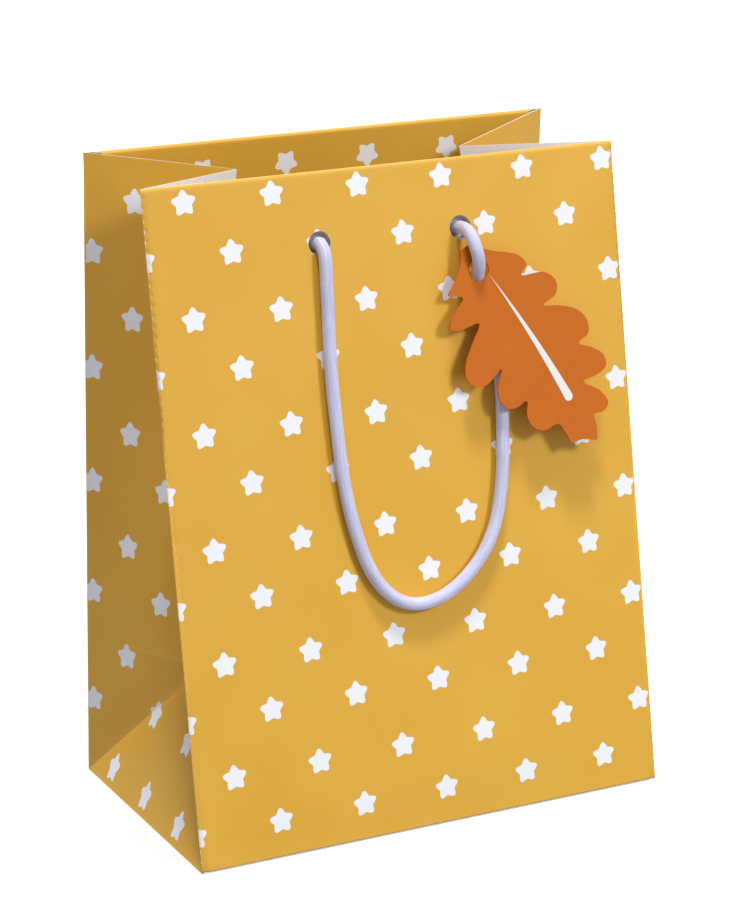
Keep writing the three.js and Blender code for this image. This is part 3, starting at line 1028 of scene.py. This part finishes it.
def leaf_fold(flat, depth):
    """Leaf points on the tag's board, lifted, turned and put on the rope."""
    x, y = flat.T
    curl = TAG_CURL * (np.clip(x, 0, None) / TAG_LENGTH) ** 2
    z = TAG_CARD / 2 - depth - curl
    along, off = turned_by(TAG_LIFT, x, z)
    across, up = turned_by(TAG_TURN, along, y)
    return FRONT.place(np.stack([across, up, off], axis=1)) - FRONT.origin + TAG_AT


print("the leaf's outline has", len(leaf_outline), "points")



# %% Tag finish
LEAF_BROWN = rgb(204, 108, 20)
LEAF_DEEP = rgb(197, 101, 16)
RIB_WHITE = rgb(240, 236, 226)
RIB_START = 3.8
RIB_END = 55.5
RIB_HALF_WIDTH = 1.6
RIB_BOW = [float(part) for part in np.polyfit([3.8, 31.5, 57.0], [2.5, 4.6, 4.9], 2)]
TAG_GRAIN = 0.03 * MM


def tag_finish():
    """Brown card with a midrib measured from a bowed line that starts at the hole."""
    finish = Finish("tag_card", roughness=0.68, specular=0.25)
    place = finish.flat_map()
    split = finish.tree.nodes.new("ShaderNodeSeparateXYZ")
    finish.tree.links.new(place, split.inputs[0])
    x, y = split.outputs[0], split.outputs[1]
    near = finish.math("MINIMUM", finish.math("MAXIMUM", x, RIB_START), RIB_END)
    bow = finish.math("MULTIPLY_ADD", near, RIB_BOW[0], RIB_BOW[1])
    middle = finish.math("MULTIPLY_ADD", bow, near, RIB_BOW[2])
    dx = finish.math("POWER", finish.math("ABSOLUTE", finish.math("SUBTRACT", x, near)), 2.0)
    dy = finish.math("POWER", finish.math("ABSOLUTE", finish.math("SUBTRACT", y, middle)), 2.0)
    off = finish.math("SQRT", finish.math("ADD", dx, dy))
    share = finish.math("DIVIDE", finish.math("SUBTRACT", near, RIB_START), RIB_END - RIB_START)
    inside = finish.math("MULTIPLY_ADD", share, RIB_HALF_WIDTH, finish.math("MULTIPLY", off, -1.0))
    rib = finish.fade(inside, -PRINT_EDGE, PRINT_EDGE)
    fibre = finish.noise(place, scale=0.9, detail=5.0)
    cloud = finish.noise(place, scale=0.05, detail=2.0)
    shade = finish.mix(fibre, cloud, share=0.5)
    brown = finish.blend(finish.fade(shade, low=0.32, high=0.68), LEAF_DEEP, LEAF_BROWN)
    finish.wire("Base Color", finish.blend(rib, brown, RIB_WHITE))
    finish.wire("Roughness", finish.fade(fibre, low=0.3, high=0.7, to_low=0.6, to_high=0.74))
    finish.bump(fibre, distance=TAG_GRAIN, strength=0.7)
    return finish.material


TAG_FINISH = tag_finish()
print("finish:", TAG_FINISH.name)

# %% Cut the tag
leaf_low, leaf_high = leaf_outline.min(axis=0), leaf_outline.max(axis=0)
leaf_sheet = cut_sheet(
    leaf_outline,
    [circle_loop(0, 0, TAG_HOLE, TAG_HOLE_SIDES)],
    np.arange(leaf_low[0], leaf_high[0], TAG_GRID),
    np.arange(leaf_low[1], leaf_high[1], TAG_GRID),
)
tag = paper_piece("leaf_tag_card", leaf_sheet, leaf_fold, TAG_CARD)
tag.data.materials.clear()
tag.data.materials.append(TAG_FINISH)  # for the face
tag.data.materials.append(TAG_FINISH)  # for the reverse and the rim
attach(tag, "gift_tag")
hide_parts("leaf_tag")
print(tag.name, len(tag.data.polygons), "faces")

# %% [markdown]
# ## Card and paper that stay as packed
# The stiffening cards, the base flaps, the tucks, the glue tab and the base board are plain cut
# sheets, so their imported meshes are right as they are. They only need real surfaces: grey
# recycled board with flecks and pressed layers, and paper that is printed underneath.

# %% Board and base finishes
BOARD_GRAIN = 0.05 * MM
UNDERSIDE = (0.05, 0.15)  # heights in millimetres between which the print ends


def board_finish(name, light, dark, fleck_colour):
    """Recycled board: cloudy pulp, short dark flecks and a felted surface."""
    finish = Finish(name, roughness=0.85, specular=0.2)
    place = finish.solid_map()
    pulp = finish.noise(place, scale=0.18, detail=6.0)
    felt = finish.noise(finish.stretch(place, 1.0, 0.45, 1.0), scale=1.8, detail=4.0)
    speck = finish.noise(finish.stretch(place, 0.7, 1.6, 1.0), scale=0.9, detail=1.0)
    colour = finish.blend(finish.fade(pulp, low=0.3, high=0.7), dark, light)
    flecks = finish.fade(speck, low=0.68, high=0.74, to_high=0.6)
    finish.wire("Base Color", finish.blend(flecks, colour, fleck_colour))
    finish.wire("Roughness", finish.fade(felt, low=0.3, high=0.7, to_low=0.78, to_high=0.92))
    finish.bump(felt, distance=BOARD_GRAIN, strength=0.8)
    return finish.material


def underprinted_paper():
    """Paper printed on its underside, which lies at the surface that the bag stands on."""
    finish = Finish("underprinted_paper", roughness=0.6, specular=0.3)
    place = finish.solid_map()
    split = finish.tree.nodes.new("ShaderNodeSeparateXYZ")
    finish.tree.links.new(place, split.inputs[0])
    fibre = finish.noise(place, scale=1.1, detail=5.0)
    under = finish.blend(star_print(finish, place), MUSTARD, INK_WHITE)
    white = finish.blend(finish.fade(fibre, low=0.3, high=0.7), BARE_DEEP, BARE_LIGHT)
    upper = finish.fade(split.outputs[2], *UNDERSIDE)
    finish.wire("Base Color", finish.blend(upper, under, white))
    finish.bump(fibre, distance=PAPER_GRAIN, strength=0.8)
    return finish.material


HEM_BOARD = board_finish("hem_card", rgb(216, 212, 202), rgb(198, 193, 180), rgb(150, 142, 126))
BASE_BOARD = board_finish("base_card", rgb(190, 174, 144), rgb(166, 150, 120), rgb(110, 98, 78))
PACKED_FINISHES = {
    "front_hem_card": HEM_BOARD,
    "back_hem_card": HEM_BOARD,
    "base_board": BASE_BOARD,
    "base_front_flap": underprinted_paper(),
    "base_back_flap": WHITE,
    "base_left_tuck": WHITE,
    "base_right_tuck": WHITE,
    "side_seam_tab": WHITE,
}
for node_name, node_finish in PACKED_FINISHES.items():
    nodes[node_name].data.materials.clear()
    nodes[node_name].data.materials.append(node_finish)
print("packed nodes with new finishes:", len(PACKED_FINISHES))

# %% [markdown]
# ## Floor and light
# A pale floor and soft light, strongest from the front right and above, so the front is bright
# and the left side falls into shade. The floor throws no light back on the bag, as when a dark
# flag stands beside it in a studio, so the shade stays deep.

# %% Floor
FLOOR_REACH = 12.0
FLOOR_PALE = rgb(246, 246, 247)
FLOOR_BRIGHT = rgb(250, 250, 250)
FLOOR_CORNERS = [(-1, -1, 0), (1, -1, 0), (1, 1, 0), (-1, 1, 0)]

floor_mesh = bpy.data.meshes.new("floor")
corner_places = [Vector(corner) * FLOOR_REACH for corner in FLOOR_CORNERS]
floor_mesh.from_pydata(corner_places, [], [(0, 1, 2, 3)])
floor = bpy.data.objects.new("floor", floor_mesh)
scene.collection.objects.link(floor)
floor_finish = Finish("floor_paper", roughness=0.9, specular=0.1)
floor_cloud = floor_finish.noise(floor_finish.solid_map(), scale=0.004, detail=2.0)
floor_finish.wire("Base Color", floor_finish.blend(floor_cloud, FLOOR_PALE, FLOOR_BRIGHT))
floor_mesh.materials.append(floor_finish.material)
floor.visible_diffuse = False
print("the floor is %.0f m wide" % (2 * FLOOR_REACH))

# %% Lights
BAG_MIDDLE = (0, 0, HEIGHT / 2)
DISKS = {  # place, size and power
    "key": ((0.75, -1.7, 1.25), 0.5, 20),
    "rear_fill": ((0.5, 1.8, 1.0), 1.0, 16),
}
SUN_POWER = 2.3
SUN_SOFTNESS = math.radians(9)
SUN_TILT = (math.radians(8), math.radians(-4), 0)
SKY_COLOUR = (0.78, 0.83, 1.0, 1.0)
SKY_STRENGTH = 0.46


def soft_light(name, place, aim, size, power):
    """A round lamp at a place, turned towards its aim."""
    data = bpy.data.lights.new(name, "AREA")
    data.shape = "DISK"
    data.size = size
    data.energy = power
    light = bpy.data.objects.new(name, data)
    light.location = place
    light.rotation_euler = (Vector(aim) - Vector(place)).to_track_quat("-Z", "Y").to_euler()
    scene.collection.objects.link(light)


for disk_name, (disk_place, disk_size, disk_power) in DISKS.items():
    soft_light(disk_name, disk_place, BAG_MIDDLE, disk_size, disk_power)
sun_data = bpy.data.lights.new("overhead", "SUN")
sun_data.energy = SUN_POWER
sun_data.angle = SUN_SOFTNESS
sun = bpy.data.objects.new("overhead", sun_data)
sun.rotation_euler = SUN_TILT
scene.collection.objects.link(sun)
world = bpy.data.worlds.new("studio")
world.use_nodes = True
sky = world.node_tree.nodes["Background"]
sky.inputs["Color"].default_value = SKY_COLOUR
sky.inputs["Strength"].default_value = SKY_STRENGTH
scene.world = world
scene.view_settings.view_transform = "Standard"
print("lights:", [*DISKS, sun.name])
